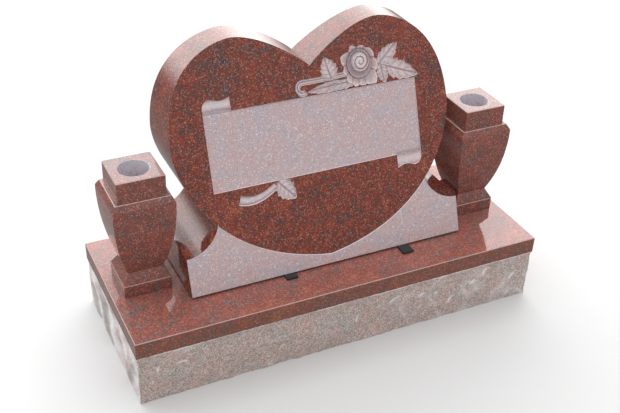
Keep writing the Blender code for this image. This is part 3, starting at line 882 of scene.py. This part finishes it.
def buildUrn(node, name):
    u = urn
    low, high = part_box(node)
    middle = (low + high) / 2
    profile = urnProfile()
    bm = bmesh.new()
    bmesh.ops.create_grid(bm, x_segments=1, y_segments=1, size=profile[0][0])
    bmesh.ops.translate(bm, vec=(0, 0, profile[0][1]), verts=bm.verts)
    face = bm.faces[:][0]
    for i, ((half, height), (nextHalf, nextHeight)) in enumerate(zip(profile, profile[1:])):
        face = growFace(bm, face, keep=i == 0)
        bmesh.ops.scale(bm, vec=(nextHalf / half, nextHalf / half, 1.0), verts=face.verts)
        bmesh.ops.translate(bm, vec=(0, 0, nextHeight - height), verts=face.verts)
    bmesh.ops.translate(bm, vec=(middle.x, middle.y, baseTop), verts=bm.verts)
    bmesh.ops.recalc_face_normals(bm, faces=bm.faces)
    edges = [e for e in bm.edges if e.is_convex and e.calc_face_angle(0.0) > math.radians(24)]

    def edgesAt(key):
        return [e for e in edges if all(abs(v.co.z - baseTop - u[key]) < nearly for v in e.verts)]

    rims = edgesAt("footHeight") + edgesAt("chamferHeight") + edgesAt("mouthHeight")
    softenArrises(bm, edgesAt("shoulderHeight"), u["softArris"], 3)
    softenArrises(bm, [e for e in rims if e.is_valid], u["arris"], 1, 1)
    corners = [e for e in bm.edges if e.is_convex and e.calc_face_angle(0.0) > math.radians(50)
               and abs(e.verts[0].co.z - e.verts[1].co.z) > 0.001]
    softenArrises(bm, corners, u["arris"], 1)
    vase = makePiece(name, bm, [finishes["urn"], finishes["easedPaintedHighlight"]], 20.0)
    drill = bmesh.new()
    bmesh.ops.create_circle(drill, cap_ends=True, segments=72, radius=u["boreRadius"])
    mouth = baseTop + u["mouthHeight"]
    bmesh.ops.translate(drill, vec=(middle.x, middle.y, mouth - u["boreDepth"]), verts=drill.verts)
    face = drill.faces[:][0]
    flare = u["flare"]
    lifts = ((u["boreDepth"] - flare, 1.0), (flare, 1.0 + flare / u["boreRadius"]), (0.02, 1.0))
    for i, (lift, grow) in enumerate(lifts):
        face = growFace(drill, face, keep=i == 0)
        bmesh.ops.scale(drill, vec=(grow, grow, 1.0), verts=face.verts,
                        space=Matrix.Translation((-middle.x, -middle.y, 0)))
        bmesh.ops.translate(drill, vec=(0, 0, lift), verts=face.verts)
    cutAway(vase, [makePiece("drill_" + name, drill, [finishes["bored"]])], 20.0)
    return vase


def standsFor(piece, node):
    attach(piece, "root")
    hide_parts(node)
    print("stage:", piece.name, len(piece.data.polygons), "faces")


standsFor(buildBase(), "base")
standsFor(buildHeartStone(), "heart_stone")
standsFor(buildUrn("urn_left", "urnLeft"), "urn_left")
standsFor(buildUrn("urn_right", "urnRight"), "urn_right")
for node in ("packer_left", "packer_right"):
    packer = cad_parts[node]
    packer.data.materials.clear()
    packer.data.materials.append(finishes["packer"])


# Floor, light and camera
studio = {"floorSize": 14.0, "floorShade": 0.66, "skyLow": 0.34, "skyHigh": 1.46,
          "glow": 3.7, "glowFrom": 0.60, "glowFull": 0.86, "glowTowards": (0.14, 0.81, 0.57),
          "fadeFrom": 0.56, "fadeFull": 0.64, "glowLeft": 0.20}


def buildFloor():
    bm = bmesh.new()
    bmesh.ops.create_grid(bm, x_segments=4, y_segments=4, size=studio["floorSize"] / 2)
    bmesh.ops.translate(bm, vec=(0, 0, baseLow.z - 0.0005), verts=bm.verts)
    finish = Finish("paleFloor")
    shade = studio["floorShade"]
    drift = finish.cloud(1.5, 2.0)
    color = finish.mix(drift * 0.4, (shade, shade, shade), (shade * 0.97, shade * 0.97, shade * 0.97))
    finish.set(Base_Color=color, Roughness=0.9)
    floor = bpy.data.objects.new("floor", bpy.data.meshes.new("floor"))
    bm.to_mesh(floor.data)
    bm.free()
    floor.data.materials.append(finish.material)
    floor.visible_glossy = False       # the polished sides mirror the dim ground of the sky instead
    bpy.context.scene.collection.objects.link(floor)


def buildSky():
    # even light that grows towards the zenith, and a broad bright part of the sky behind the
    # stone, which the polished tops mirror
    world = bpy.data.worlds.new("softSky")
    world.use_nodes = True
    nodes, links = world.node_tree.nodes, world.node_tree.links
    place = nodes.new("ShaderNodeTexCoord")

    def spread(towards, fromMin, fromMax, toMin, toMax, interpolation="SMOOTHSTEP"):
        facing = nodes.new("ShaderNodeVectorMath")
        facing.operation = "DOT_PRODUCT"
        facing.inputs[1].default_value = towards
        links.new(place.outputs["Generated"], facing.inputs[0])
        part = nodes.new("ShaderNodeMapRange")
        part.interpolation_type = interpolation
        limits = {"From Min": fromMin, "From Max": fromMax, "To Min": toMin, "To Max": toMax}
        for socket, value in limits.items():
            part.inputs[socket].default_value = value
        links.new(facing.outputs["Value"], part.inputs["Value"])
        return part.outputs["Result"]

    def joined(operation, first, second):
        node = nodes.new("ShaderNodeMath")
        node.operation = operation
        links.new(first, node.inputs[0])
        links.new(second, node.inputs[1])
        return node.outputs[0]

    s = studio
    even = spread((0.0, 0.0, 1.0), -0.12, 1.0, s["skyLow"], s["skyHigh"], "LINEAR")
    glow = spread(s["glowTowards"], s["glowFrom"], s["glowFull"], 0.0, s["glow"])
    fade = spread((0.0, 0.0, 1.0), s["fadeFrom"], s["fadeFull"], 1.0, s["glowLeft"])
    strength = joined("ADD", even, joined("MULTIPLY", glow, fade))
    links.new(strength, nodes["Background"].inputs["Strength"])
    nodes["Background"].inputs["Color"].default_value = (1.0, 1.0, 1.0, 1.0)
    bpy.context.scene.world = world


def buildCamera():
    c = camera
    azimuth, elevation, roll = (math.radians(c[key]) for key in ("azimuth", "elevation", "roll"))
    back = Vector((math.sin(azimuth) * math.cos(elevation), -math.cos(azimuth) * math.cos(elevation),
                   math.sin(elevation)))
    right = Vector((0, 0, 1)).cross(back).normalized()
    up = back.cross(right)
    tiltedRight = right * math.cos(roll) + up * math.sin(roll)
    tiltedUp = up * math.cos(roll) - right * math.sin(roll)
    lens = bpy.data.cameras.new("camera")
    lens.sensor_width = c["sensor"]
    lens.lens = c["focalPixels"] / c["frameWidth"] * c["sensor"]
    viewer = bpy.data.objects.new("camera", lens)
    turn = Matrix((tiltedRight, tiltedUp, back)).transposed()
    viewer.matrix_world = Matrix.Translation(Vector(c["target"]) + back * c["distance"]) @ turn.to_4x4()
    bpy.context.scene.collection.objects.link(viewer)
    bpy.context.scene.camera = viewer


buildFloor()
buildSky()
buildCamera()
bpy.context.scene.view_settings.view_transform = "Standard"
print("stage: floor, light and camera")

bpy.context.view_layer.update()
